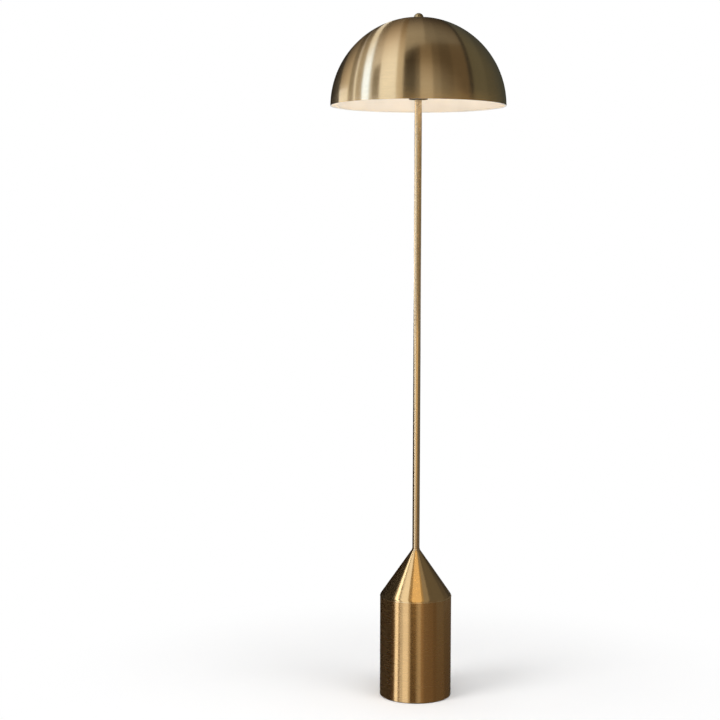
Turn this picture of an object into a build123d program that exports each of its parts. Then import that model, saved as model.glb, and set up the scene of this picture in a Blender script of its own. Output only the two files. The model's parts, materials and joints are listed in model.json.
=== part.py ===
"""Mushroom floor lamp: a weighted drum with a conical top, a three-piece pole, an E27
lampholder with a harp, and a hemispherical shade clamped by a finial.

Millimetres. +Z is up, the origin is on the lamp's axis at floor level, and the cord
inlet faces +Y, the back of the lamp. Every height is stacked up from the floor.
"""

from build123d import *
from math import asin, atan2, degrees, sqrt
import os

os.makedirs("parts", exist_ok=True)

# ---------------------------------------------------------------- base sizes
drum_r = 79.0  # outside of the rolled drum
drum_wall = 1.2
drum_h = 219.0  # from the bottom plate's rim to the seam
seam_round = 0.4  # broken edge on each side of the seam
cone_h = 103.2  # from the seam to the flat apex
cone_wall = 1.0
cone_band = 4.0  # upright band of the cone above the seam
cone_corner_r = 8.0  # spun corner between band and flank
cone_apex_r = 1.0  # inside of the corner at the apex
apex_r = 10.0  # flat land at the cone's top
bead_r = 0.7  # bead rolled round the cone, just above the seam
bead_out = 0.5  # bead beyond the band
bead_lift = 1.2  # bead's centre above the seam
skirt_h = 9.0  # joggled skirt of the cone, inside the drum
pad_t = 1.6
pad_inset = 2.5  # felt stops short of the plate's rim
plate_t = 1.5
plate_inset = 0.4  # plate's rim inside the drum's outline
dish_r = 52.0  # outside of the dished centre
dish_h = 20.0
dish_corner_r = 3.0
lug_h = 2.4  # pressed ring that centres the plate in the drum
lug_w = 2.4
weight_h = 50.0
weight_draft = 1.5  # the casting narrows towards its top
weight_edge_r = 4.0
slip = 0.3  # clearance where one part of the base drops into another

# ------------------------------------------------- threaded rod, nuts, washers
rod_r = 5.0  # M10 x 1 lamp thread, drawn plain
rod_bore_r = 3.6
rod_hole_r = 5.3  # clearance hole for it
rod_tail = 1.0  # rod below its bottom nut
nut_af = 14.0
nut_h = 5.0
nut_chamfer = 0.6
washer_r = 10.0
washer_t = 1.6

# ---------------------------------------------------------------- cord inlet
cord_r = 2.9
gland_z = 14.0
gland_r = 6.0
gland_bore_r = 3.3
gland_flange_r = 8.5
gland_flange_t = 2.5
gland_edge_r = 0.8
gland_length = 13.0  # from the flange's outer face inwards
gland_nut_af = 16.0
gland_nut_t = 4.0
gland_fit = 0.1
dish_cord_hole_r = 4.5

# ---------------------------------------------------------------- pole sizes
collar_r = 9.5  # foot of the flared collar
collar_top_r = 8.6
collar_h = 4.0
collar_foot_h = 0.8  # upright edge at its foot
collar_hollow_r = 6.0
pole_r = 8.0
pole_wall = 1.2
pole_lower_h = 93.2
pole_middle_h = 570.0
pole_upper_h = 323.5
pole_edge = 0.5  # chamfer on each tube end, seen as a fine line at a joint
bush_h = 12.0
bush_sunk = 0.3  # bushes end just short of the tube ends
nipple_grip = 11.0  # how far a nipple reaches into each bush

# --------------------------------------------------- lampholder and harp sizes
disc_r = 20.75
disc_t = 1.0
disc_corner_r = 0.4  # inside of the turned-up rim's corner
disc_rim_h = 1.6
spacer_r = 8.0
spacer_waist = 0.3
spacer_h = 1.7
saddle_w = 12.0
saddle_t = 1.6
saddle_end = 4.0  # strap beyond the harp's legs
peg_h = 8.0
harp_half = 42.0  # leg to axis
harp_wire_r = 2.0
braze_gap = 0.05
harp_h = 163.2  # from the saddle to the top of the wire's centre line
ferrule_r = 3.4
ferrule_h = 15.0
ferrule_lift = 1.0
stud_r = 3.1  # shade screw thread, drawn plain
stud_chamfer = 0.6
stud_boss_r = 5.0
stud_boss_drop = 3.8
seat_r = 9.0
seat_t = 2.2
seat_rise = 4.6  # from the harp's centre line to the seat's top
stud_reach = 9.2  # stud above the seat

holder_r = 19.0
holder_wall = 1.8
holder_cap_h = 21.0
holder_cap_round = 9.0
holder_skirt_h = 32.0
holder_lip = 2.4
holder_edge_r = 1.2
holder_ribs = 24
holder_rib_r = 0.7
holder_rib_margin = 3.0  # plain skirt below and above the ribs
core_r = 16.8
core_h = 11.0
core_drop = 7.0  # core below the joint between cap and skirt
shell_wall = 0.5
shell_h = 24.0
shell_flange_r = 16.0
screw_fit = 0.08  # radial clearance of the bulb's thread in its shell
contact_w = 5.0
contact_t = 0.5
contact_rise = 2.6
contact_half = 7.0
terminal_x = 10.0
terminal_head_r = 3.0
terminal_head_h = 2.2
terminal_shank_r = 1.5
terminal_shank_h = 8.0
terminal_slot_w = 0.8

# ---------------------------------------------------------------- bulb sizes
bulb_gap = 0.1  # between the centre contact and the bulb's tip
tip_r = 4.5
tip_h = 1.5
tip_edge_r = 0.5
insulator_r = 11.0
insulator_h = 3.5
e27_r = 13.2
e27_pitch = 3.63
e27_depth = 1.0
e27_crest = 1.2  # flat of a thread ring
e27_turns = 5
bulb_cap_h = 22.5
bulb_cap_wall = 0.3
glass_r = 30.0
glass_h = 81.0  # from the cap's rim to the crown
glass_wall = 0.9
glass_throat_r = 45.0  # hollow curve between neck and ball
glass_sunk = 3.0  # neck inside the cap

# ---------------------------------------------------------------- shade sizes
dome_r = 191.2
dome_wall = 0.9
crown_flat_r = 20.0  # flat that the finial's washer clamps
crown_r = 100.0  # eased corner between the flat and the dome
rim_above_equator = 1.0
rim_bead_r = 1.4
ring_r = 13.0
ring_t = 1.0
stud_hole_r = 5.4

# --------------------------------------------------------------- finial sizes
washer_flare_r = 13.0
washer_flare_t = 3.4
washer_edge_t = 2.2
finial_r = 10.2
finial_band_h = 1.2
finial_h = 8.0
finial_neck_r = 4.2
finial_lip_r = 4.8  # swaged lip that keeps the washer on the neck
finial_lip_t = 0.5
finial_fit = 0.06  # running clearance of neck and thread
finial_gap = 0.1  # under and over the washer, so that the finial turns on it
finial_crown = 3.0  # metal left over the threaded hole

# ------------------------------------------------------- heights that follow
rim_z = pad_t  # bottom plate's rim
drum_z = rim_z + plate_t
seam_z = drum_z + drum_h
apex_z = seam_z + cone_h
dish_z = rim_z + dish_h  # underside of the dished centre
weight_z = dish_z + plate_t
weight_top_z = weight_z + weight_h
collar_z = apex_z
pole_z = collar_z + collar_h
joint_1_z = pole_z + pole_lower_h
joint_2_z = joint_1_z + pole_middle_h
pole_top_z = joint_2_z + pole_upper_h
spacer_z = pole_top_z + disc_t
saddle_z = spacer_z + spacer_h
saddle_top_z = saddle_z + saddle_t
harp_top_z = saddle_top_z + harp_h
seat_z = harp_top_z + seat_rise
holder_joint_z = saddle_top_z + holder_cap_h
core_z = holder_joint_z - core_drop
core_top_z = core_z + core_h
tip_z = core_top_z + contact_t + contact_rise + bulb_gap
insulator_z = tip_z + tip_h
bulb_cap_z = insulator_z + insulator_h
glass_z = bulb_cap_z + bulb_cap_h
land_z = seat_z + ring_t + dome_wall
crown_z = land_z - crown_r  # centre of the eased corner
dome_centre_z = crown_z - sqrt((dome_r - crown_r) ** 2 - crown_flat_r**2)
shade_rim_z = dome_centre_z + rim_above_equator
finial_z = land_z + washer_flare_t

drum_bore_r = drum_r - drum_wall
pole_bore_r = pole_r - pole_wall
nut_z = dish_z - washer_t - nut_h
rod_z = nut_z - rod_tail


def turned(*points, mode=Mode.ADD):
    """Revolve a closed outline of (radius, height) points about the lamp's axis."""
    with BuildSketch(Plane.XZ) as outline:
        with BuildLine():
            Polyline(*points, close=True)
        make_face()
    return revolve(outline.sketch, axis=Axis.Z, mode=mode)


def ring(inner_r, outer_r, low_z, high_z):
    """A plain turned ring or tube."""
    return turned((inner_r, low_z), (outer_r, low_z), (outer_r, high_z), (inner_r, high_z))


def facing_back(y, z):
    """A plane square to +Y, for what is let into the back of the drum."""
    return Plane((0, y, z), x_dir=(1, 0, 0), z_dir=(0, 1, 0))


def rod_nut(low_z):
    """A hexagon nut on the threaded rod, with its corners turned off at both ends."""
    high_z = low_z + nut_h
    corner_r = nut_af / sqrt(3)
    with BuildPart() as nut:
        with BuildSketch(Plane.XY.offset(low_z)):
            RegularPolygon(radius=nut_af / 2, side_count=6, major_radius=False)
            Circle(rod_r, mode=Mode.SUBTRACT)
        extrude(amount=nut_h)
        turned(
            (0, low_z),
            (corner_r - nut_chamfer, low_z),
            (corner_r, low_z + nut_chamfer),
            (corner_r, high_z - nut_chamfer),
            (corner_r - nut_chamfer, high_z),
            (0, high_z),
            mode=Mode.INTERSECT,
        )
    return nut.part


# ================================================================ the base

# Felt pad, glued under the plate
with BuildPart() as base_pad:
    with BuildSketch():
        Circle(drum_r - plate_inset - pad_inset)
    extrude(amount=pad_t)

# Pressed bottom plate: a flat rim with a centring ring, and a dished centre that takes
# the rod's nut and the cord's bend
lug_r = drum_bore_r - slip - lug_w  # inner side of the centring ring
with BuildPart() as base_plate:
    with BuildSketch(Plane.XZ):
        with BuildLine() as under:
            FilletPolyline(
                (rod_hole_r, dish_z),
                (dish_r - plate_t, dish_z),
                (dish_r - plate_t, rim_z),
                (drum_r - plate_inset, rim_z),
                radius=dish_corner_r,
            )
            offset(under.line, amount=plate_t, side=Side.LEFT)
        make_face()
    revolve(axis=Axis.Z)
    turned(
        (lug_r, drum_z),
        (lug_r + lug_w, drum_z),
        (lug_r + lug_w, drum_z + lug_h / 2),
        (lug_r + lug_w / 2, drum_z + lug_h),
        (lug_r, drum_z + lug_h / 2),
    )
    with BuildSketch(facing_back(0, gland_z)):
        Circle(dish_cord_hole_r)
    extrude(amount=dish_r + plate_t, mode=Mode.SUBTRACT)

# Cast weight, standing on the dished centre
weight_r = drum_bore_r - slip
with BuildPart() as base_weight:
    turned(
        (rod_hole_r, weight_z),
        (weight_r, weight_z),
        (weight_r - weight_draft, weight_top_z),
        (rod_hole_r, weight_top_z),
    )
    fillet(base_weight.edges().group_by(Axis.Z)[-1].sort_by(SortBy.LENGTH)[-1], weight_edge_r)

# Rolled drum wall, with the inlet's hole at the back
with BuildPart() as base_drum:
    ring(drum_bore_r, drum_r, drum_z, seam_z)
    chamfer(base_drum.edges().group_by(Axis.Z)[-1].sort_by(SortBy.LENGTH)[-1], seam_round)
    with BuildSketch(facing_back(0, gland_z)):
        Circle(gland_r + gland_fit)
    extrude(amount=drum_r + drum_wall, mode=Mode.SUBTRACT)

# Spun cone. Its upright band stands on the drum's edge, and its skirt drops inside
with BuildPart() as base_cone:
    with BuildSketch(Plane.XZ):
        with BuildLine() as flank:
            FilletPolyline(
                (drum_r, seam_z),
                (drum_r, seam_z + cone_band),
                (apex_r, apex_z),
                (rod_hole_r, apex_z),
                radius=[cone_corner_r, cone_apex_r + cone_wall],
            )
            offset(flank.line, amount=cone_wall, side=Side.LEFT)
        make_face()
    revolve(axis=Axis.Z)
    chamfer(base_cone.edges().group_by(Axis.Z)[0].sort_by(SortBy.LENGTH)[-1], seam_round)
    skirt_r = drum_bore_r - slip
    turned(
        (skirt_r - cone_wall, seam_z - skirt_h),
        (skirt_r, seam_z - skirt_h),
        (skirt_r, seam_z),
        (drum_r - cone_wall, seam_z),
        (drum_r - cone_wall, seam_z + cone_wall),
        (skirt_r - cone_wall, seam_z + cone_wall),
    )
    with BuildSketch(Plane.XZ):
        with Locations((drum_r + bead_out - bead_r, seam_z + bead_lift)):
            Circle(bead_r)
    revolve(axis=Axis.Z)

# Thick washer under the cone's apex
with BuildPart() as apex_washer:
    ring(rod_hole_r, apex_r - cone_wall, apex_z - cone_wall - washer_t, apex_z - cone_wall)

# Hollow rod from the dish to the pole's lowest bush
with BuildPart() as tie_rod:
    ring(rod_bore_r, rod_r, rod_z, pole_z + nipple_grip)

# The nut under the plate carries the clamping load, the one on the weight holds it down
clamping_nuts = [rod_nut(nut_z), rod_nut(weight_top_z + washer_t)]
with BuildPart() as rod_nuts:
    add(clamping_nuts)

with BuildPart() as rod_washers:
    ring(rod_hole_r, washer_r, dish_z - washer_t, dish_z)
    ring(rod_hole_r, washer_r, weight_top_z, weight_top_z + washer_t)

# Inlet bush: its flange is seated on the curved wall
gland_face_y = drum_r + gland_flange_t
gland_seat_y = sqrt(drum_r**2 - gland_flange_r**2)  # where the flange's sides meet the wall
with BuildPart() as cord_gland:
    with BuildSketch(facing_back(gland_face_y, gland_z)):
        Circle(gland_flange_r)
    extrude(amount=gland_seat_y - gland_face_y)
    fillet(cord_gland.edges().group_by(Axis.Y)[-1], gland_edge_r)
    with BuildSketch(Plane.XY):
        Circle(drum_r)
    extrude(amount=gland_z + gland_flange_r, mode=Mode.SUBTRACT)
    with BuildSketch(facing_back(gland_face_y, gland_z)):
        Circle(gland_r)
    extrude(amount=-gland_length)
    with BuildSketch(facing_back(gland_face_y, gland_z)):
        Circle(gland_bore_r)
    extrude(amount=-gland_length, mode=Mode.SUBTRACT)

# Its nut stands with two corners on the inside of the drum
gland_nut_corner_r = gland_nut_af / sqrt(3)
gland_nut_y = sqrt(drum_bore_r**2 - gland_nut_corner_r**2) - gland_fit
with BuildPart() as gland_nut:
    with BuildSketch(facing_back(gland_nut_y, gland_z)):
        RegularPolygon(radius=gland_nut_af / 2, side_count=6, major_radius=False)
        Circle(gland_r, mode=Mode.SUBTRACT)
    extrude(amount=-gland_nut_t)

# ================================================================ the pole

# Flared collar that the pole stands on
collar_foot_z = collar_z + collar_foot_h
with BuildPart() as pole_collar:
    with BuildSketch(Plane.XZ):
        with BuildLine():
            Polyline(
                (collar_top_r, pole_z),
                (rod_hole_r, pole_z),
                (rod_hole_r, collar_z),
                (collar_r, collar_z),
                (collar_r, collar_foot_z),
            )
            RadiusArc((collar_r, collar_foot_z), (collar_top_r, pole_z), collar_hollow_r)
        make_face()
    revolve(axis=Axis.Z)


def pole_tube(low_z, high_z):
    """One length of pole, with both outer edges broken."""
    with BuildPart() as tube:
        ring(pole_bore_r, pole_r, low_z, high_z)
        outer = tube.edges().filter_by(GeomType.CIRCLE).group_by(SortBy.RADIUS)[-1]
        chamfer(outer, pole_edge)
    return tube


pole_lower = pole_tube(pole_z, joint_1_z)
pole_middle = pole_tube(joint_1_z, joint_2_z)
pole_upper = pole_tube(joint_2_z, pole_top_z)

# A threaded bush is brazed into each tube end
with BuildPart() as pole_bushes:
    for foot_z, head_z in (
        (pole_z, joint_1_z),
        (joint_1_z, joint_2_z),
        (joint_2_z, pole_top_z),
    ):
        ring(rod_r, pole_bore_r, foot_z + bush_sunk, foot_z + bush_h)
        ring(rod_r, pole_bore_r, head_z - bush_h, head_z - bush_sunk)

with BuildPart() as pole_nipples:
    for joint_z in (joint_1_z, joint_2_z):
        ring(rod_bore_r, rod_r, joint_z - nipple_grip, joint_z + nipple_grip)

# ===================================================== lampholder and harp

# Thin dished disc that closes the top of the pole
with BuildPart() as holder_disc:
    with BuildSketch(Plane.XZ):
        with BuildLine() as dish:
            FilletPolyline(
                (rod_hole_r, pole_top_z),
                (disc_r, pole_top_z),
                (disc_r, pole_top_z + disc_rim_h),
                radius=disc_corner_r + disc_t,
            )
            offset(dish.line, amount=disc_t, side=Side.LEFT)
        make_face()
    revolve(axis=Axis.Z)

# Waisted spacer
with BuildPart() as neck_spacer:
    with BuildSketch(Plane.XZ):
        with BuildLine():
            Polyline(
                (spacer_r, spacer_z),
                (rod_hole_r, spacer_z),
                (rod_hole_r, saddle_z),
                (spacer_r, saddle_z),
            )
            ThreePointArc(
                (spacer_r, saddle_z),
                (spacer_r - spacer_waist, (spacer_z + saddle_z) / 2),
                (spacer_r, spacer_z),
            )
        make_face()
    revolve(axis=Axis.Z)

# Strap with an upright peg at each end
with BuildPart() as harp_saddle:
    with BuildSketch(Plane.XY.offset(saddle_z)):
        SlotOverall(2 * (harp_half + saddle_end), saddle_w)
        Circle(rod_hole_r, mode=Mode.SUBTRACT)
    extrude(amount=saddle_t)
    with BuildSketch(Plane.XY.offset(saddle_top_z)):
        with Locations((-harp_half, 0), (harp_half, 0)):
            Circle(harp_wire_r)
    extrude(amount=peg_h)


def harp_wire(wire_r):
    """The harp's bent wire, from peg to peg, with a half round over the bulb."""
    foot_z = saddle_top_z + peg_h
    shoulder_z = harp_top_z - harp_half
    with BuildLine(Plane.XZ) as path:
        Line((-harp_half, foot_z), (-harp_half, shoulder_z))
        ThreePointArc((-harp_half, shoulder_z), (0, harp_top_z), (harp_half, shoulder_z))
        Line((harp_half, shoulder_z), (harp_half, foot_z))
    with BuildSketch(Plane.XY.offset(foot_z)) as section:
        with Locations((-harp_half, 0)):
            Circle(wire_r)
    return sweep(section.sketch, path=path.line, mode=Mode.PRIVATE)


harp_bar = harp_wire(harp_wire_r)
harp_groove = harp_wire(harp_wire_r + braze_gap)
with BuildPart() as harp:
    add(harp_bar)

# Sleeves that lock the legs on the pegs
with BuildPart() as harp_ferrules:
    with BuildSketch(Plane.XY.offset(saddle_top_z + ferrule_lift)):
        with Locations((-harp_half, 0), (harp_half, 0)):
            Circle(ferrule_r)
            Circle(harp_wire_r, mode=Mode.SUBTRACT)
    extrude(amount=ferrule_h)

# Boss over the harp's top, with the seat for the shade and the stud for the finial
with BuildPart() as harp_stud:
    turned(
        (0, harp_top_z - stud_boss_drop),
        (stud_boss_r, harp_top_z - stud_boss_drop),
        (stud_boss_r, seat_z - seat_t),
        (seat_r, seat_z - seat_t),
        (seat_r, seat_z),
        (stud_r, seat_z),
        (stud_r, seat_z + stud_reach),
        (0, seat_z + stud_reach),
    )
    chamfer(harp_stud.edges().group_by(Axis.Z)[-1], stud_chamfer)
    add(harp_groove, mode=Mode.SUBTRACT)

# Long nipple from the pole's top bush into the lampholder's cap
locknut_z = saddle_top_z + holder_wall
nipple_top_z = locknut_z + nut_h
with BuildPart() as top_nipple:
    ring(rod_bore_r, rod_r, pole_top_z - nipple_grip, nipple_top_z)

cap_nut = rod_nut(locknut_z)
with BuildPart() as holder_locknut:
    add(cap_nut)

# Cap of the lampholder
with BuildPart() as holder_cap:
    with BuildSketch(Plane.XZ):
        with BuildLine() as cup:
            FilletPolyline(
                (rod_hole_r, saddle_top_z),
                (holder_r, saddle_top_z),
                (holder_r, holder_joint_z),
                radius=holder_cap_round,
            )
            offset(cup.line, amount=holder_wall, side=Side.LEFT)
        make_face()
    revolve(axis=Axis.Z)

# Skirt of the lampholder, with an inward lip over the screw shell and finger ribs
skirt_top_z = holder_joint_z + holder_skirt_h
shell_r = e27_r + screw_fit  # bore of the screw shell
with BuildPart() as holder_skirt:
    turned(
        (holder_r - holder_wall, holder_joint_z),
        (holder_r, holder_joint_z),
        (holder_r, skirt_top_z),
        (shell_r + shell_wall, skirt_top_z),
        (shell_r + shell_wall, skirt_top_z - holder_lip),
        (holder_r - holder_wall, skirt_top_z - holder_lip),
    )
    fillet(holder_skirt.edges().group_by(Axis.Z)[-1].sort_by(SortBy.LENGTH)[-1], holder_edge_r)
    with BuildSketch(Plane.XY.offset(holder_joint_z + holder_rib_margin)):
        with PolarLocations(holder_r, holder_ribs):
            Circle(holder_rib_r)
    extrude(amount=holder_skirt_h - 2 * holder_rib_margin)

# Porcelain core, drilled for the terminal screws
with BuildPart() as holder_core:
    with BuildSketch(Plane.XY.offset(core_z)):
        Circle(core_r)
        with Locations((-terminal_x, 0), (terminal_x, 0)):
            Circle(terminal_shank_r, mode=Mode.SUBTRACT)
    extrude(amount=core_h)
    chamfer(holder_core.edges().group_by(Axis.Z)[0].sort_by(SortBy.LENGTH)[-1], contact_t)

# Screw shell, with a flange on the core
with BuildPart() as holder_shell:
    turned(
        (shell_r, core_top_z),
        (shell_flange_r, core_top_z),
        (shell_flange_r, core_top_z + shell_wall),
        (shell_r + shell_wall, core_top_z + shell_wall),
        (shell_r + shell_wall, core_top_z + shell_h),
        (shell_r, core_top_z + shell_h),
    )

# Sprung centre contact: a bent strip, raised under the bulb's tip
with BuildPart() as holder_contact:
    with BuildSketch(Plane.XZ.offset(-contact_w / 2)):
        with BuildLine() as strip:
            Polyline(
                (-contact_half, core_top_z),
                (-tip_r, core_top_z),
                (-tip_r / 2, core_top_z + contact_rise),
                (tip_r / 2, core_top_z + contact_rise),
                (tip_r, core_top_z),
                (contact_half, core_top_z),
            )
            offset(strip.line, amount=contact_t, side=Side.LEFT)
        make_face()
    extrude(amount=contact_w)

# Slotted terminal screws, heads down in the cap
with BuildPart() as holder_screws:
    with BuildSketch(Plane.XY.offset(core_z)):
        with Locations((-terminal_x, 0), (terminal_x, 0)):
            Circle(terminal_head_r)
    extrude(amount=-terminal_head_h)
    with BuildSketch(Plane.XY.offset(core_z - terminal_head_h)):
        with Locations((-terminal_x, 0), (terminal_x, 0)):
            Rectangle(terminal_slot_w, 2 * terminal_head_r)
    extrude(amount=terminal_head_h / 2, mode=Mode.SUBTRACT)
    with BuildSketch(Plane.XY.offset(core_z)):
        with Locations((-terminal_x, 0), (terminal_x, 0)):
            Circle(terminal_shank_r)
    extrude(amount=terminal_shank_h)

# Cord inside the lamp: in at the gland, through the dish's wall, and up the rod and pole
cord_low_z = rim_z + cord_r + slip
cord_bend_r = rod_z - cord_low_z
cord_slope_r = 2 * cord_bend_r
gland_inner_y = gland_face_y - gland_length
with BuildPart() as inner_cord:
    with BuildLine(Plane.YZ) as cord_path:
        FilletPolyline(
            (gland_inner_y, gland_z),
            (dish_r - plate_t, gland_z),
            (cord_slope_r, cord_low_z),
            (0, cord_low_z),
            (0, nipple_top_z),
            radius=[cord_slope_r, cord_slope_r, cord_bend_r],
        )
    with BuildSketch(Plane((0, gland_inner_y, gland_z), x_dir=(1, 0, 0), z_dir=(0, -1, 0))):
        Circle(cord_r)
    sweep(path=cord_path.line)

# ================================================================ the bulb

with BuildPart() as bulb_tip:
    ring(0, tip_r, tip_z, insulator_z)
    fillet(bulb_tip.edges().group_by(Axis.Z)[0], tip_edge_r)

with BuildPart() as bulb_insulator:
    turned((0, insulator_z), (tip_r, insulator_z), (insulator_r, bulb_cap_z), (0, bulb_cap_z))

# Screw cap, whose thread is drawn as plain rings
root_r = e27_r - e27_depth
cap_bore_r = root_r - bulb_cap_wall
thread_z = bulb_cap_z + e27_depth
with BuildPart() as bulb_cap:
    with BuildSketch(Plane.XZ):
        with BuildLine():
            for turn in range(e27_turns):
                low_z = thread_z + turn * e27_pitch
                crest_z = low_z + (e27_pitch - e27_crest) / 2
                Polyline(
                    (root_r, low_z),
                    (e27_r, crest_z),
                    (e27_r, crest_z + e27_crest),
                    (root_r, low_z + e27_pitch),
                )
            Polyline(
                (root_r, thread_z + e27_turns * e27_pitch),
                (root_r, glass_z),
                (cap_bore_r, glass_z),
                (cap_bore_r, thread_z),
                (insulator_r - bulb_cap_wall, bulb_cap_z),
                (insulator_r, bulb_cap_z),
                (root_r, thread_z),
            )
        make_face()
    revolve(axis=Axis.Z)

# Opal bulb: a ball on a drawn-in neck, hollow, and cemented into the cap
ball_z = glass_z + glass_h - glass_r
neck_z = glass_z - glass_sunk
throat_x = cap_bore_r + glass_throat_r
throat_z = ball_z - sqrt((glass_r + glass_throat_r) ** 2 - throat_x**2)


def bulb_form(inset, mode):
    """The bulb's outer form, or its hollow when inset by the glass's thickness."""
    neck_r = cap_bore_r - inset
    ball_r = glass_r - inset
    throat_r = glass_throat_r + inset
    share = ball_r / (ball_r + throat_r)  # of the way from the ball's centre to the throat's
    shoulder = (share * throat_x, ball_z + share * (throat_z - ball_z))
    with BuildSketch(Plane.XZ) as outline:
        with BuildLine():
            Polyline((0, ball_z + ball_r), (0, neck_z), (neck_r, neck_z), (neck_r, throat_z))
            RadiusArc((neck_r, throat_z), shoulder, throat_r)
            ThreePointArc(shoulder, (ball_r, ball_z), (0, ball_z + ball_r))
        make_face()
    revolve(outline.sketch, axis=Axis.Z, mode=mode)


with BuildPart() as bulb_glass:
    bulb_form(0, Mode.ADD)
    bulb_form(glass_wall, Mode.SUBTRACT)

# ================================================================ the shade

# Spun dome with a flat crown, eased into the sphere, and a bead rolled in at the rim
rim_angle = degrees(asin(rim_above_equator / dome_r))
crown_angle = degrees(atan2(crown_z - dome_centre_z, crown_flat_r))
rim_bead_z = shade_rim_z + rim_bead_r
rim_bead_centre_r = sqrt(dome_r**2 - (rim_bead_z - dome_centre_z) ** 2) - rim_bead_r
with BuildPart() as shade:
    with BuildSketch(Plane.XZ):
        with BuildLine() as dome:
            CenterArc((0, dome_centre_z), dome_r, rim_angle, crown_angle - rim_angle)
            CenterArc((crown_flat_r, crown_z), crown_r, crown_angle, 90 - crown_angle)
            Line((crown_flat_r, land_z), (stud_hole_r, land_z))
            offset(dome.line, amount=dome_wall, side=Side.LEFT)
        make_face()
        with Locations((rim_bead_centre_r, rim_bead_z)):
            Circle(rim_bead_r)
    revolve(axis=Axis.Z)

# Stiffening ring that sits between the harp's seat and the shade
with BuildPart() as shade_ring:
    ring(stud_hole_r, ring_r, seat_z, seat_z + ring_t)

# Flared washer, captive on the finial's neck
washer_hole_r = finial_neck_r + finial_fit
counterbore_r = finial_lip_r + slip
counterbore_z = land_z + finial_lip_t + 2 * finial_gap
with BuildPart() as finial_washer:
    with BuildSketch(Plane.XZ):
        with BuildLine():
            Polyline(
                (finial_r, finial_z),
                (washer_hole_r, finial_z),
                (washer_hole_r, counterbore_z),
                (counterbore_r, counterbore_z),
                (counterbore_r, land_z),
                (washer_flare_r, land_z),
                (washer_flare_r, land_z + washer_edge_t),
            )
            RadiusArc(
                (washer_flare_r, land_z + washer_edge_t), (finial_r, finial_z), washer_flare_r
            )
        make_face()
    revolve(axis=Axis.Z)

# Domed finial, threaded for the harp's stud
finial_top_z = finial_z + finial_h
finial_foot_z = finial_z + finial_gap
band_top_z = finial_z + finial_band_h
dome_h = finial_top_z - band_top_z
finial_crown_r = (finial_r**2 + dome_h**2) / (2 * dome_h)
lip_z = land_z + finial_gap
thread_r = stud_r + finial_fit
with BuildPart() as finial:
    with BuildSketch(Plane.XZ):
        with BuildLine():
            RadiusArc((finial_r, band_top_z), (0, finial_top_z), -finial_crown_r)
            Polyline(
                (0, finial_top_z),
                (0, finial_top_z - finial_crown),
                (thread_r, finial_top_z - finial_crown),
                (thread_r, lip_z),
                (finial_lip_r, lip_z),
                (finial_lip_r, lip_z + finial_lip_t),
                (finial_neck_r, lip_z + finial_lip_t),
                (finial_neck_r, finial_foot_z),
                (finial_r, finial_foot_z),
                (finial_r, band_top_z),
            )
        make_face()
    revolve(axis=Axis.Z)

# ================================================================ the files

pieces = {
    "base_pad": base_pad,
    "base_plate": base_plate,
    "base_weight": base_weight,
    "base_drum": base_drum,
    "base_cone": base_cone,
    "apex_washer": apex_washer,
    "tie_rod": tie_rod,
    "rod_nuts": rod_nuts,
    "rod_washers": rod_washers,
    "cord_gland": cord_gland,
    "gland_nut": gland_nut,
    "inner_cord": inner_cord,
    "pole_collar": pole_collar,
    "pole_lower": pole_lower,
    "pole_middle": pole_middle,
    "pole_upper": pole_upper,
    "pole_bushes": pole_bushes,
    "pole_nipples": pole_nipples,
    "top_nipple": top_nipple,
    "holder_disc": holder_disc,
    "neck_spacer": neck_spacer,
    "harp_saddle": harp_saddle,
    "harp": harp,
    "harp_ferrules": harp_ferrules,
    "harp_stud": harp_stud,
    "holder_cap": holder_cap,
    "holder_skirt": holder_skirt,
    "holder_core": holder_core,
    "holder_shell": holder_shell,
    "holder_contact": holder_contact,
    "holder_screws": holder_screws,
    "holder_locknut": holder_locknut,
    "bulb_tip": bulb_tip,
    "bulb_insulator": bulb_insulator,
    "bulb_cap": bulb_cap,
    "bulb_glass": bulb_glass,
    "shade": shade,
    "shade_ring": shade_ring,
    "finial_washer": finial_washer,
    "finial": finial,
}
for name, piece in pieces.items():
    piece.part.label = name
    export_step(piece.part, f"parts/{name}.step")
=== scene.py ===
"""Mushroom floor lamp: its finishes, a pale studio, the room that its brass mirrors, and a camera.

Metres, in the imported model's own frame: the lamp stands on z = 0 with its axis on Z, and
the camera looks along +Y. Azimuths are in degrees about the lamp, 0 towards the camera,
and positive towards +X, the right of the picture.
"""

import json
from math import cos, pi, radians, sin

import bpy
from mathutils import Matrix, Vector


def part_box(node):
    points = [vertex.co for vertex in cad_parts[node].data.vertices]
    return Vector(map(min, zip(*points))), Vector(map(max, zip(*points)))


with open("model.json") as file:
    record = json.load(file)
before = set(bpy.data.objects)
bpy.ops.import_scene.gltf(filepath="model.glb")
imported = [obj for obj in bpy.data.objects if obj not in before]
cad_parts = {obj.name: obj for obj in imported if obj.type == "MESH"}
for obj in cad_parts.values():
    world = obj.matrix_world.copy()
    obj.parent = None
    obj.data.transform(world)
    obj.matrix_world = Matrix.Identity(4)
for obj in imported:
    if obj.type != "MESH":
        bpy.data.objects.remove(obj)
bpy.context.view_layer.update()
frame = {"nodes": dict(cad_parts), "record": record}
nodes = frame["nodes"]
scene = bpy.context.scene

# ---------------------------------------------------------------- the lamp's own sizes
shade_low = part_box("shade")[0]
drum_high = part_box("base_drum")[1]
glass_low, glass_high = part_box("bulb_glass")
rim_above_centre = 0.001
dome_centre = Vector((0, 0, shade_low.z + rim_above_centre))


# ================================================================ node helpers


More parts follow.
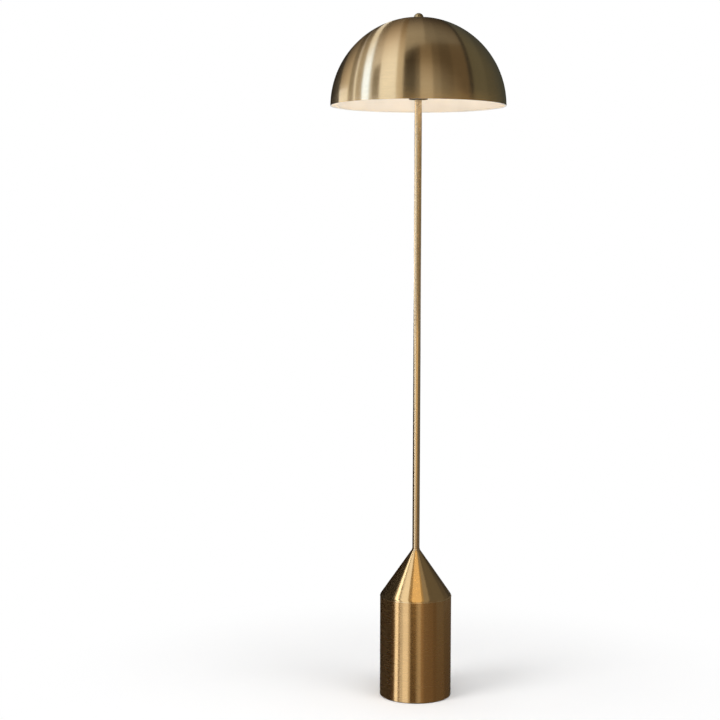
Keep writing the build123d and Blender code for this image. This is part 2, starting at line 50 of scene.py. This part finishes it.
class Finish:
    """A node material under construction, built round one Principled shader."""

    def __init__(self, name):
        self.material = bpy.data.materials.new(name)
        self.material.use_nodes = True
        self.tree = self.material.node_tree
        self.tree.nodes.clear()
        self.output = self.tree.nodes.new("ShaderNodeOutputMaterial")
        self.shader = self.tree.nodes.new("ShaderNodeBsdfPrincipled")
        self.link(self.shader.outputs["BSDF"], self.output.inputs["Surface"])

    def link(self, out, into):
        self.tree.links.new(out, into)

    def node(self, kind, settings=(), **inputs):
        """A new node. settings are its properties; inputs are values or other nodes' outputs."""
        made = self.tree.nodes.new("ShaderNode" + kind)
        for name, value in dict(settings).items():
            setattr(made, name, value)
        for name, value in inputs.items():
            self.feed(made.inputs[name.replace("_", " ")], value)
        return made

    def feed(self, socket, value):
        if isinstance(value, bpy.types.NodeSocket):
            self.link(value, socket)
        else:
            socket.default_value = value

    def math(self, operation, *values):
        made = self.tree.nodes.new("ShaderNodeMath")
        made.operation = operation
        for socket, value in zip(made.inputs, values):
            self.feed(socket, value)
        return made.outputs[0]

    def mix(self, factor, low, high):
        """Colour low where factor is 0 and high where it is 1."""
        made = self.tree.nodes.new("ShaderNodeMix")
        made.data_type = "RGBA"
        self.feed(made.inputs["Factor"], factor)
        self.feed(made.inputs["A"], rgba(low))
        self.feed(made.inputs["B"], rgba(high))
        return made.outputs["Result"]

    def ramp(self, value, low, high, to_low=0.0, to_high=1.0):
        """value mapped smoothly from low..high to to_low..to_high."""
        made = self.node("MapRange", {"interpolation_type": "SMOOTHSTEP"})
        for socket, number in zip(made.inputs, (value, low, high, to_low, to_high)):
            self.feed(socket, number)
        return made.outputs["Result"]

    def noise(self, vector, scale, detail=2.0, roughness=0.5, distortion=0.0):
        made = self.node("TexNoise", Vector=vector, Scale=scale, Detail=detail)
        made.inputs["Roughness"].default_value = roughness
        made.inputs["Distortion"].default_value = distortion
        return made.outputs["Fac"]

    def place(self):
        """The point on the object at rest, in metres."""
        return self.node("TexCoord").outputs["Object"]

    def bump(self, height, distance, strength):
        return self.node("Bump", Height=height, Distance=distance, Strength=strength).outputs["Normal"]

    def set(self, **inputs):
        for name, value in inputs.items():
            self.feed(self.shader.inputs[name.replace("_", " ")], value)


def rgba(colour):
    """Three numbers as four; a socket as it is."""
    if isinstance(colour, bpy.types.NodeSocket) or len(colour) == 4:
        return colour
    return (*colour, 1.0)


def wear(finish, object_name, material):
    """Puts a finished material on a CAD node."""
    mesh = nodes[object_name].data
    mesh.materials.clear()
    mesh.materials.append(material)


# ================================================================ brass


def turned_lines(finish, turns, pitch):
    """Coordinates for what runs round the lamp's axis: slow round the axis, and quick along
    the meridian, with one unit for each pitch. They suit walls, cones, domes and discs."""
    split = finish.node("SeparateXYZ", Vector=finish.place())
    x, y, z = split.outputs
    flat = finish.node("CombineXYZ", X=x, Y=y)
    out = finish.node("VectorMath", {"operation": "NORMALIZE"})
    finish.link(flat.outputs[0], out.inputs[0])
    radius = finish.node("VectorMath", {"operation": "LENGTH"})
    finish.link(flat.outputs[0], radius.inputs[0])
    along = finish.math("SUBTRACT", z, radius.outputs["Value"])
    round_axis = finish.node("SeparateXYZ", Vector=out.outputs[0]).outputs
    return finish.node(
        "CombineXYZ",
        X=finish.math("MULTIPLY", round_axis[0], turns),
        Y=finish.math("MULTIPLY", round_axis[1], turns),
        Z=finish.math("MULTIPLY", along, 1 / pitch),
    ).outputs[0]


hair_pitch = 0.0005
band_pitch = 0.009
worn_and_highlit_edge_r = 0.0008
bead_height = 0.0019
bead_fade = 0.0003


def brushed_brass(name, colour, roughness, stretch=1.0):
    """Lacquered brass, brushed round the lamp's axis: hair-fine lines, slow clouds in the tone,
    paler edges that are partly wear and partly a painted highlight, and reflections that the lines
    stretch along the meridian."""
    finish = Finish(name)
    hairs = finish.noise(turned_lines(finish, 6.0, hair_pitch), 1.0, 3.0, 0.65)
    bands = finish.noise(turned_lines(finish, 1.5, band_pitch), 1.0, 2.0, 0.5)
    cloud = finish.noise(finish.place(), 14.0, 3.0, 0.55)
    dark = [c * 0.93 for c in colour]
    light = [min(1.0, c * 1.05) for c in colour]
    lines = finish.mix(finish.ramp(hairs, 0.3, 0.7), dark, light)
    aged = finish.mix(finish.ramp(cloud, 0.35, 0.75, 0.0, 0.25), lines, [c * 0.85 for c in colour])
    # Paler edges: partly wear, partly a painted highlight where the edges catch light; the height ramp
    # keeps it off the lowest 1 to 3 cm
    edge = finish.node("Bevel", Radius=worn_and_highlit_edge_r)
    edge.samples = 4
    turn = finish.node("VectorMath", {"operation": "DOT_PRODUCT"})
    finish.link(edge.outputs[0], turn.inputs[0])
    finish.link(finish.node("NewGeometry").outputs["Normal"], turn.inputs[1])
    worn_and_highlit_edge = finish.ramp(turn.outputs["Value"], 0.97, 0.8, 0.0, 0.45)
    height = finish.node("SeparateXYZ", Vector=finish.place()).outputs["Z"]
    worn_and_highlit_edge = finish.math("MULTIPLY", worn_and_highlit_edge, finish.ramp(height, 0.01, 0.03))
    pale = [min(1.0, c * 1.2 + 0.04) for c in colour]
    tangent = finish.node("Tangent", {"direction_type": "RADIAL", "axis": "Z"})
    finish.set(
        Base_Color=finish.mix(worn_and_highlit_edge, aged, pale),
        Metallic=1.0,
        Roughness=finish.ramp(bands, 0.3, 0.7, roughness - 0.015, roughness + 0.015),
        Anisotropic=stretch,
        Anisotropic_Rotation=0.25,
        Tangent=tangent.outputs[0],
        Coat_Weight=0.6,
        Coat_Roughness=0.06,
        Coat_IOR=1.5,
        Normal=finish.bump(hairs, 0.00001, 0.02),
    )
    return finish


def bead_painted_highlight(finish, low, high):
    """Paints the bead between those heights paler: a painted highlight for the light that the bead
    catches.
    """
    coat = finish.shader.inputs["Base Color"].links[0].from_socket
    height = finish.node("SeparateXYZ", Vector=finish.place()).outputs["Z"]
    over = finish.ramp(height, low, low + bead_fade)
    under = finish.ramp(height, high, high - bead_fade)
    bead_highlight_band = finish.math("MULTIPLY", over, under)
    # painted highlight colour for the bead
    finish.set(Base_Color=finish.mix(bead_highlight_band, coat, (1.0, 0.86, 0.58)))


# The drum, cone and pole are one antique brass; their colours differ partly as painted reflection: the
# drum's and cone's more orange tone stands in for the warm surroundings that they mirror
drum_brass = brushed_brass("antique_brass_drum", (0.80, 0.54, 0.26), 0.27)
cone_brass = brushed_brass("antique_brass_cone", (0.80, 0.58, 0.30), 0.19)
pole_brass = brushed_brass("antique_brass_pole", (0.82, 0.65, 0.42), 0.26)
dome_brass = brushed_brass("shade_brass", (0.82, 0.66, 0.42), 0.19, 0.8)


def paint_inside(finish):
    """White paint on the shade's inner side and over the lower half of its bead; on the bead's outer
    side the white is partly a painted highlight for the light the rim catches.
    """
    coords = finish.node("TexCoord")
    offset = finish.node("VectorMath", {"operation": "SUBTRACT"})
    finish.link(coords.outputs["Object"], offset.inputs[0])
    offset.inputs[1].default_value = dome_centre
    out = finish.node("VectorMath", {"operation": "NORMALIZE"})
    finish.link(offset.outputs[0], out.inputs[0])
    facing = finish.node("VectorMath", {"operation": "DOT_PRODUCT"})
    finish.link(out.outputs[0], facing.inputs[0])
    finish.link(coords.outputs["Normal"], facing.inputs[1])
    paint = finish.node("BsdfPrincipled")
    peel = finish.noise(finish.place(), 900.0, 2.0)
    tone = finish.ramp(finish.noise(finish.place(), 25.0, 2.0), 0.3, 0.7)
    white = finish.mix(tone, (0.84, 0.82, 0.78), (0.88, 0.86, 0.82))
    finish.feed(paint.inputs["Base Color"], white)
    paint.inputs["Roughness"].default_value = 0.45
    finish.feed(paint.inputs["Normal"], finish.bump(peel, 0.00008, 0.4))
    # Paint where the surface faces the dome's centre and a little past the bead's lowest point: the
    # white there is partly a painted highlight along the rim
    both = finish.node("MixShader", Fac=finish.ramp(facing.outputs["Value"], 0.30, 0.20))
    finish.link(finish.shader.outputs[0], both.inputs[1])
    finish.link(paint.outputs[0], both.inputs[2])
    finish.link(both.outputs[0], finish.output.inputs["Surface"])


paint_inside(dome_brass)
# The bead over the drum's seam gets a painted highlight
bead_painted_highlight(cone_brass, drum_high.z, drum_high.z + bead_height)

# ================================================================ other finishes


def plain_metal(name, colour, roughness, grain=0.002):
    """Plated or rolled metal with a faint grain."""
    finish = Finish(name)
    grain_value = finish.noise(finish.place(), 1 / grain, 4.0, 0.6)
    cloud = finish.noise(finish.place(), 60.0, 2.0)
    finish.set(
        Base_Color=finish.mix(finish.ramp(cloud, 0.3, 0.7), [c * 0.85 for c in colour], colour),
        Metallic=1.0,
        Roughness=finish.ramp(grain_value, 0.3, 0.7, roughness - 0.06, roughness + 0.08),
        Normal=finish.bump(grain_value, 0.00003, 0.4),
    )
    return finish


def moulded(name, colour, roughness, speckle=0.25):
    """Moulded or cast material with a fine skin and a slight change of tone."""
    finish = Finish(name)
    skin = finish.noise(finish.place(), 1800.0, 3.0, 0.6)
    cloud = finish.noise(finish.place(), 90.0, 2.0)
    pale = [min(1.0, c * (1 + speckle) + 0.01) for c in colour]
    finish.set(
        Base_Color=finish.mix(finish.ramp(cloud, 0.3, 0.7), colour, pale),
        Roughness=finish.ramp(skin, 0.3, 0.7, roughness - 0.06, roughness + 0.06),
        Normal=finish.bump(skin, 0.00004, 0.5),
    )
    return finish


def felt_finish():
    """Dense black felt: matted fibres and a little fuzz."""
    finish = Finish("felt")
    fibres = finish.noise(finish.place(), 2600.0, 5.0, 0.7, 1.5)
    finish.set(
        Base_Color=finish.mix(fibres, (0.018, 0.018, 0.018), (0.07, 0.068, 0.065)),
        Roughness=0.95,
        Sheen_Weight=0.4,
        Sheen_Roughness=0.5,
        Normal=finish.bump(fibres, 0.0004, 0.9),
    )
    return finish


def opal_finish(light, strength):
    """Opal glass, lit from inside: brightest over the ball and dimmer at the neck."""
    finish = Finish("opal_glass")
    height = finish.node("SeparateXYZ", Vector=finish.place()).outputs["Z"]
    neck_top = glass_low.z + 0.35 * (glass_high.z - glass_low.z)
    ball = finish.ramp(height, glass_low.z, neck_top, 0.35, 1.0)
    cloud = finish.ramp(finish.noise(finish.place(), 40.0, 2.0), 0.2, 0.8, 0.94, 1.0)
    finish.set(
        Base_Color=(0.93, 0.9, 0.84, 1.0),
        Roughness=0.25,
        Emission_Color=rgba(light),
        Emission_Strength=finish.math("MULTIPLY", finish.math("MULTIPLY", ball, cloud), strength),
        Coat_Weight=0.5,
        Coat_Roughness=0.05,
    )
    return finish


bulb_light = (1.0, 0.65, 0.25)
bulb_strength = 8.5

# The holder's disc is near black with almost no gloss: painted shade, for the shadow that it sits in
# under the shade
disc_painted_shade = moulded("holder_disc_painted_shade", (0.03, 0.02, 0.012), 0.6)
disc_painted_shade.set(Specular_IOR_Level=0.05)
finishes = {
    "zinc_steel": plain_metal("zinc_steel", (0.62, 0.62, 0.60), 0.32),
    "contact_brass": plain_metal("contact_brass", (0.83, 0.66, 0.34), 0.28),
    "cap_aluminium": plain_metal("cap_aluminium", (0.80, 0.80, 0.81), 0.30),
    "solder": plain_metal("solder", (0.66, 0.66, 0.66), 0.35, 0.0008),
    "weight_iron": moulded("weight_iron", (0.045, 0.045, 0.045), 0.65),
    "black_plastic": moulded("black_plastic", (0.022, 0.022, 0.022), 0.45),
    "cord_sheath": moulded("cord_sheath", (0.03, 0.03, 0.03), 0.5),
    "holder_plastic": moulded("holder_plastic", (0.035, 0.028, 0.022), 0.32),
    "porcelain": moulded("porcelain", (0.84, 0.82, 0.78), 0.18, 0.05),
    "insulator_glass": moulded("insulator_glass", (0.012, 0.012, 0.018), 0.12),
    "felt": felt_finish(),
    "opal_glass": opal_finish(bulb_light, bulb_strength),
    "shade_brass": dome_brass,
}
pole_nodes = ("pole_collar", "pole_lower", "pole_middle", "pole_upper", "neck_spacer",
              "harp", "harp_ferrules", "harp_stud", "finial_washer")
own_finish = {
    "base_cone": cone_brass,
    "finial": plain_metal("polished_brass", (0.66, 0.56, 0.34), 0.14),
    "holder_disc": disc_painted_shade,
}
for piece in frame["record"]["subparts"]:
    name, slot = piece["node"], piece["material_slot"]
    if name in own_finish:
        finish = own_finish[name]
    elif slot == "antique_brass":
        finish = pole_brass if name in pole_nodes else drum_brass
    else:
        finish = finishes[slot]
    wear(finish, name, finish.material)

# ================================================================ the studio


def where_seen(finish):
    """1 for what the camera, a gloss or a glass sees, and 0 for the light on other things."""
    path = finish.node("LightPath")
    seen = finish.math("MAXIMUM", path.outputs["Is Camera Ray"], path.outputs["Is Glossy Ray"])
    return finish.math("MAXIMUM", seen, path.outputs["Is Transmission Ray"])


def make_floor(radius, fade_from, fade_to):
    """A pale floor that takes the lamp's shadow, and turns into the white of the backdrop."""
    segments = 96
    rings = [0.5, 1.0, 2.0, 4.0, 8.0, radius]
    turns = [2 * pi * i / segments for i in range(segments)]
    verts = [(0.0, 0.0, 0.0)]
    for r in rings:
        verts += [(r * cos(a), r * sin(a), 0.0) for a in turns]
    faces = [(0, 1 + i, 1 + (i + 1) % segments) for i in range(segments)]
    for ring in range(len(rings) - 1):
        a, b = 1 + ring * segments, 1 + (ring + 1) * segments
        for i in range(segments):
            j = (i + 1) % segments
            faces.append((a + i, b + i, b + j, a + j))
    mesh = bpy.data.meshes.new("floor")
    mesh.from_pydata(verts, [], faces)
    floor = bpy.data.objects.new("floor", mesh)
    scene.collection.objects.link(floor)
    finish = Finish("floor_white")
    tone = finish.noise(finish.place(), 6.0, 3.0)
    finish.set(
        Base_Color=finish.mix(tone, (0.86, 0.86, 0.86), (0.88, 0.88, 0.88)),
        Roughness=0.9,
        Specular_IOR_Level=0.0,
    )
    white = finish.node("Emission", Color=(1, 1, 1, 1), Strength=1.0)
    away = finish.node("VectorMath", {"operation": "LENGTH"})
    finish.link(finish.place(), away.inputs[0])
    seen = where_seen(finish)
    fade = finish.math("MULTIPLY", seen, finish.ramp(away.outputs["Value"], fade_from, fade_to))
    both = finish.node("MixShader", Fac=fade)
    finish.link(finish.shader.outputs[0], both.inputs[1])
    finish.link(white.outputs[0], both.inputs[2])
    finish.link(both.outputs[0], finish.output.inputs["Surface"])
    mesh.materials.append(finish.material)
    floor.visible_glossy = False  # the brass mirrors the cards below and not the floor


def make_world(ambient):
    """White where it is seen, and a dimmer plain light for the rest."""
    world = bpy.data.worlds.new("studio")
    scene.world = world
    world.use_nodes = True
    tree = world.node_tree
    tree.nodes.clear()
    path = tree.nodes.new("ShaderNodeLightPath")
    seen = tree.nodes.new("ShaderNodeMath")
    seen.operation = "MAXIMUM"
    tree.links.new(path.outputs["Is Camera Ray"], seen.inputs[0])
    tree.links.new(path.outputs["Is Glossy Ray"], seen.inputs[1])
    also = tree.nodes.new("ShaderNodeMath")
    also.operation = "MAXIMUM"
    tree.links.new(seen.outputs[0], also.inputs[0])
    tree.links.new(path.outputs["Is Transmission Ray"], also.inputs[1])
    level = tree.nodes.new("ShaderNodeMapRange")
    tree.links.new(also.outputs[0], level.inputs["Value"])
    level.inputs["To Min"].default_value = ambient
    level.inputs["To Max"].default_value = 1.0
    background = tree.nodes.new("ShaderNodeBackground")
    background.inputs["Color"].default_value = (1, 1, 1, 1)
    tree.links.new(level.outputs[0], background.inputs["Strength"])
    out = tree.nodes.new("ShaderNodeOutputWorld")
    tree.links.new(background.outputs[0], out.inputs[0])


def spot_at(azimuth, distance, height):
    """The point at that azimuth from the lamp, in degrees, at that distance and height."""
    return Vector((distance * sin(radians(azimuth)), -distance * cos(radians(azimuth)), height))


def soft_light(name, azimuth, distance, height, width, tall, power, colour=(1, 1, 1), aim=0.8):
    """A soft box, which looks at the lamp's axis."""
    light = bpy.data.lights.new(name, "AREA")
    light.shape = "RECTANGLE"
    light.size = width
    light.size_y = tall
    light.energy = power
    light.color = colour
    lamp = bpy.data.objects.new(name, light)
    lamp.location = spot_at(azimuth, distance, height)
    lamp.rotation_euler = (Vector((0, 0, aim)) - lamp.location).to_track_quat("-Z", "Y").to_euler()
    lamp.visible_camera = False
    lamp.visible_glossy = False
    scene.collection.objects.link(lamp)


def card_finish(name, colour, strength, fade=None):
    """What a card shows in the metal: a plain soft glow. fade is where it starts to change
    and where that ends, along Y in metres, and what is left of it and its tint there."""
    finish = Finish(name)
    level, tone = strength, rgba(colour)
    if fade:
        start, end, left, tint = fade
        depth = finish.node("SeparateXYZ", Vector=finish.place()).outputs["Y"]
        level = finish.ramp(depth, start, end, strength, strength * left)
        tinted = [c * t for c, t in zip(colour, tint)]
        tone = finish.mix(finish.ramp(depth, start, end), colour, tinted)
    glow = finish.node("Emission", Color=tone, Strength=level)
    finish.link(glow.outputs[0], finish.output.inputs["Surface"])
    return finish.material


def add_card(name, verts, faces, material):
    """A card that gloss alone sees. It lights nothing matt, and casts no shadow."""
    mesh = bpy.data.meshes.new(name)
    mesh.from_pydata(verts, [], faces)
    mesh.materials.append(material)
    card = bpy.data.objects.new(name, mesh)
    scene.collection.objects.link(card)
    card.visible_camera = False
    card.visible_diffuse = False
    card.visible_transmission = False
    card.visible_volume_scatter = False
    card.visible_shadow = False


def ring_card(name, inner, low, outer, high, colour, strength):
    """A round card, from one radius and height to another: a wall, a floor or a ceiling."""
    steps = 72
    turns = [2 * pi * i / steps for i in range(steps)]
    verts = [(inner * cos(a), inner * sin(a), low) for a in turns]
    verts += [(outer * cos(a), outer * sin(a), high) for a in turns]
    faces = [(i, (i + 1) % steps, steps + (i + 1) % steps, steps + i) for i in range(steps)]
    add_card(name, verts, faces, card_finish(name, colour, strength))


def mirrored(side, rise):
    """The way that an upright mirror facing azimuth side looks from the camera, and how it
    swings over the lamp as the mirror is tipped back by half of rise."""
    spread = spread_left if side < 0 else spread_right
    facing, tip = radians(side * (1 + spread * (rise / 90) ** 3)), radians(rise)
    along = Vector((cos(facing), sin(facing), 0)) * sin(facing)
    ahead = Vector((sin(facing), -cos(facing), 0)) * cos(facing)
    return along + ahead * cos(tip) + Vector((0, 0, cos(facing) * sin(tip)))


def arch_card(name, home, reach, sides, foot, heads, colour, strength, fade):
    """A curved card that the brass at those azimuths mirrors, round the point home: it rises
    from foot degrees to a head, given for each side, and turns over the lamp."""
    across = max(1, round(abs(sides[1] - sides[0]) / 4))
    up = max(2, round((max(heads) - foot) / 8))
    verts, faces = [], []
    for i in range(across + 1):
        share = i / across
        side = sides[0] + (sides[1] - sides[0]) * share
        head = heads[0] + (heads[1] - heads[0]) * share
        verts += [home + mirrored(side, foot + (head - foot) * j / up) * reach for j in range(up + 1)]
    for i in range(across):
        for j in range(up):
            a, b = i * (up + 1) + j, (i + 1) * (up + 1) + j
            faces.append((a, b, b + 1, a + 1))
    add_card(name, verts, faces, card_finish(name, colour, strength, fade))


make_floor(40.0, 0.1, 0.95)
make_world(0.55)
soft_light("key", -50, 3.2, 2.4, 1.6, 2.2, 70)
soft_light("fill", 55, 3.2, 1.6, 2.0, 2.4, 35)
soft_light("top", 10, 1.5, 3.6, 2.4, 2.4, 40)

# What the brass mirrors: a dim brown room, with its windows and lit walls on the left. Gloss
# alone sees it, and it hides the white backdrop from gloss.
daylight = (1.0, 0.98, 0.95)
plaster = (1.0, 0.97, 0.92)
timber = (1.0, 0.87, 0.68)
walnut = (1.0, 0.68, 0.40)
rust = (1.0, 0.50, 0.15)
amber = (1.0, 0.72, 0.38)
sky = (0.60, 0.74, 1.0)
olive = (1.0, 0.92, 0.64)
warmer = (1.0, 0.84, 0.66)
golden = (1.0, 0.72, 0.42)
cooler = (0.9, 1.0, 1.15)
spread_left = 0.15
spread_right = 0.06
room_r = 3.3
room_foot = -2.0
room_head = 4.4
ring_card("room_floor", 0.0, room_foot, room_r, room_foot, rust, 0.03)
ring_card("room_wall", room_r, room_foot, room_r, room_head, timber, 0.06)
ring_card("room_ceiling", 0.0, room_head, room_r, room_head, timber, 0.06)

# Each row: name, the sides that mirror it, colour, strength, and its heads at both sides
# where they aren't the room's own
limb = 88
left_of_the_shade = (
    ("left_corner", (-limb, -62), plaster, 0.20),
    ("left_curtain", (-61.5, -50), timber, 0.70, (120, 120)),
    ("left_frame", (-50, -45.3), timber, 0.30),
    ("frame_light", (-45.3, -43.5), daylight, 1.0),
    ("frame_shade", (-43.5, -38), timber, 0.44),
)
left_seat = (
    ("white_seat", (-61.5, -51), plaster, 0.98),
)
window = (
    ("window", (-38.2, -32.4), sky, 2.1),
)
beside_the_doorway = (
    ("window_side", (-32.4, -30.2), plaster, 0.68),
    ("chair_back", (-30.2, -25.2), timber, 0.26, (45, 52)),
    ("lit_wall", (-25.2, -14), plaster, 1.03),
    ("lit_wall_end", (-14, -9.5), timber, 0.62),
)
before_the_shade = (
    ("doorway", (-9.5, -2), timber, 0.10, (65.5, 75)),
    ("door_post", (-2, 1), timber, 0.20, (75, 77.5)),
    ("cupboard", (1, 9.3), timber, 0.50, (77.5, 81)),
    ("cupboard_side", (9.3, 14.4), timber, 0.31, (81, 81.5)),
    ("alcove", (14.4, 23), timber, 0.24, (81.5, 82)),
    ("alcove_end", (23, 34), timber, 0.32, (82, 82)),
)
right_of_the_shade = (
    ("far_post", (34, 37.4), timber, 0.05),
    ("far_wall", (37.4, 49.6), olive, 0.12),
    ("far_corner", (49.6, limb), olive, 0.10),
)
over_the_chair = (
    ("wall_over_chair", (-30.2, -25.2), plaster, 0.82),
)
over_the_doorway = (
    ("near_ceiling", (-9.5, 5), timber, 0.36),
)
over_the_shade = (
    ("mid_ceiling", (5, 14), timber, 0.23),
    ("far_ceiling", (14, 34), timber, 0.20),
)
beside_the_pole = (
    ("pole_window", (-limb, -36), daylight, 2.7),
    ("pole_door", (-36, -20), timber, 0.20),
    ("pole_wall", (-20, 8), plaster, 0.26),
    ("pole_post", (8, 22), timber, 0.22),
    ("pole_corner", (22, 62), plaster, 0.17),
    ("pole_rim", (62, limb), plaster, 0.55),
)
under_the_shade = (
    ("glow_left", (-limb, -12), daylight, 1.05),
    ("glow_right", (-12, limb), amber, 0.62),
)
round_the_drum = (
    ("low_corner", (-limb, -40), rust, 0.02),
    ("low_corner_edge", (-40, -36), rust, 0.06),
    ("low_post", (-36, -33.2), walnut, 0.16),
    ("low_window", (-33.2, -27.4), daylight, 1.35),
    ("low_frame", (-27.4, -24.4), walnut, 0.20),
    ("low_wall_edge", (-24.4, -19.6), plaster, 0.68),
    ("low_wall", (-19.6, -11), plaster, 1.0),
    ("low_wall_end", (-11, -8), timber, 0.55),
    ("low_doorway", (-8, 0.8), walnut, 0.08),
    ("low_cupboard_edge", (0.8, 3.6), timber, 0.26),
    ("low_cupboard", (3.6, 8.2), timber, 0.42),
    ("low_shelf", (8.2, 12.5), walnut, 0.27),
    ("low_alcove", (12.5, 28), walnut, 0.18),
    ("low_far_wall", (28, 50), walnut, 0.14),
    ("low_far_corner", (50, limb), walnut, 0.09),
)
over_the_drum = (
    ("low_picture", (34, 80), timber, 0.17),
)
over_the_cone = (
    ("cone_corner", (-limb, -28), timber, 0.02),
    ("cone_post", (-28, -25.6), timber, 0.10),
    ("cone_window", (-25.6, -21.4), daylight, 2.3),
    ("cone_gap", (-21.4, -18.6), timber, 0.20),
    ("cone_wall", (-18.6, -8.8), plaster, 1.1),
    ("cone_beam", (-8.8, -4.5), amber, 0.40),
    ("cone_glow", (-4.5, 7.5), amber, 1.0),
    ("cone_glow_side", (7.5, 10), amber, 0.45),
    ("cone_shelf", (10, 17), timber, 0.34),
    ("cone_alcove", (17, 41), timber, 0.15),
    ("cone_far_wall", (41, 53), timber, 0.11),
    ("cone_far_corner", (53, limb), timber, 0.05),
)
beside_the_cone = (
    ("cone_left", (-limb, -40), rust, 0.02),
    ("cone_right", (53, limb), timber, 0.05),
)
shade_home = Vector((0, 0, 1.30))
pole_home = Vector((0, 0, 0.85))
glow_home = Vector((0, 0, 1.20))
base_home = Vector((0, 0, 0.11))
cone_home = Vector((0, 0, -0.06))
cone_side_home = Vector((0, 0, 0.27))
cone_widening = 1.038  # the cone's sides lie wider on cards that stand further off
wall_fade = (-1.9, 3.2, 0.08, golden)
# Each room: its cards, the point that they stand round, how far off, how much wider their
# sides lie, their foot and head in degrees of rise, and how they fade
rooms = (
    (left_of_the_shade, shade_home, 3.00, 1, -40, 150, (0.1, 3.0, 0.1, warmer)),
    (left_seat, shade_home, 2.94, 1, -40, 26, None),
    (window, shade_home, 3.00, 1, -40, 150, (-0.9, 2.0, 0.68, (1.0, 0.73, 0.43))),
    (beside_the_doorway, shade_home, 3.00, 1, -40, 150, wall_fade),
    (before_the_shade, shade_home, 3.00, 1, -40, None, (-2.9, -1.2, 0.4, warmer)),
    (right_of_the_shade, shade_home, 3.00, 1, -40, 150, (0.9, 3.3, 0.5, cooler)),
    (over_the_chair, shade_home, 3.06, 1, 40, 150, wall_fade),
    (over_the_doorway, shade_home, 3.06, 1, 58, 150, (0.3, 3.0, 0.15, warmer)),
    (over_the_shade, shade_home, 3.06, 1, 68, 150, (0.3, 3.0, 0.15, warmer)),
    (beside_the_pole, pole_home, 2.90, 1, -28, 6, None),
    (under_the_shade, glow_home, 2.88, 1, -2, 7, None),
    (round_the_drum, base_home, 0.90, 1, -60, 28, None),
    (over_the_drum, base_home, 0.86, 1, -12, 28, None),
    (over_the_cone, cone_home, 0.90, cone_widening, 28, 78, None),
    (beside_the_cone, cone_side_home, 0.90, 1, -10, 150, None),
)
for cards, home, reach, widening, foot, head, fade in rooms:
    for name, ends, colour, strength, *own_heads in cards:
        heads = own_heads[0] if own_heads else (head, head)
        sides = [max(-limb, min(limb, side * widening)) for side in ends]
        arch_card(name, home, reach, sides, foot, heads, colour, strength, fade)

# ================================================================ the camera

camera_data = bpy.data.cameras.new("camera")
camera = bpy.data.objects.new("camera", camera_data)
scene.collection.objects.link(camera)
camera_data.sensor_width = 36.0
camera_data.lens = 80.12
yaw, pitch, roll = -0.0356, -0.077, 0.0026
forward = Vector((sin(yaw) * cos(pitch), cos(yaw) * cos(pitch), sin(pitch)))
level_right = Vector((cos(yaw), -sin(yaw), 0))
level_up = level_right.cross(forward)
right = level_right * cos(roll) + level_up * sin(roll)
up = right.cross(forward)
turn = Matrix((right, up, -forward)).transposed()
camera_place = (0, -3.5171, 1.0193)
camera.matrix_world = Matrix.Translation(camera_place) @ turn.to_4x4()
scene.camera = camera

scene.view_settings.view_transform = "Standard"
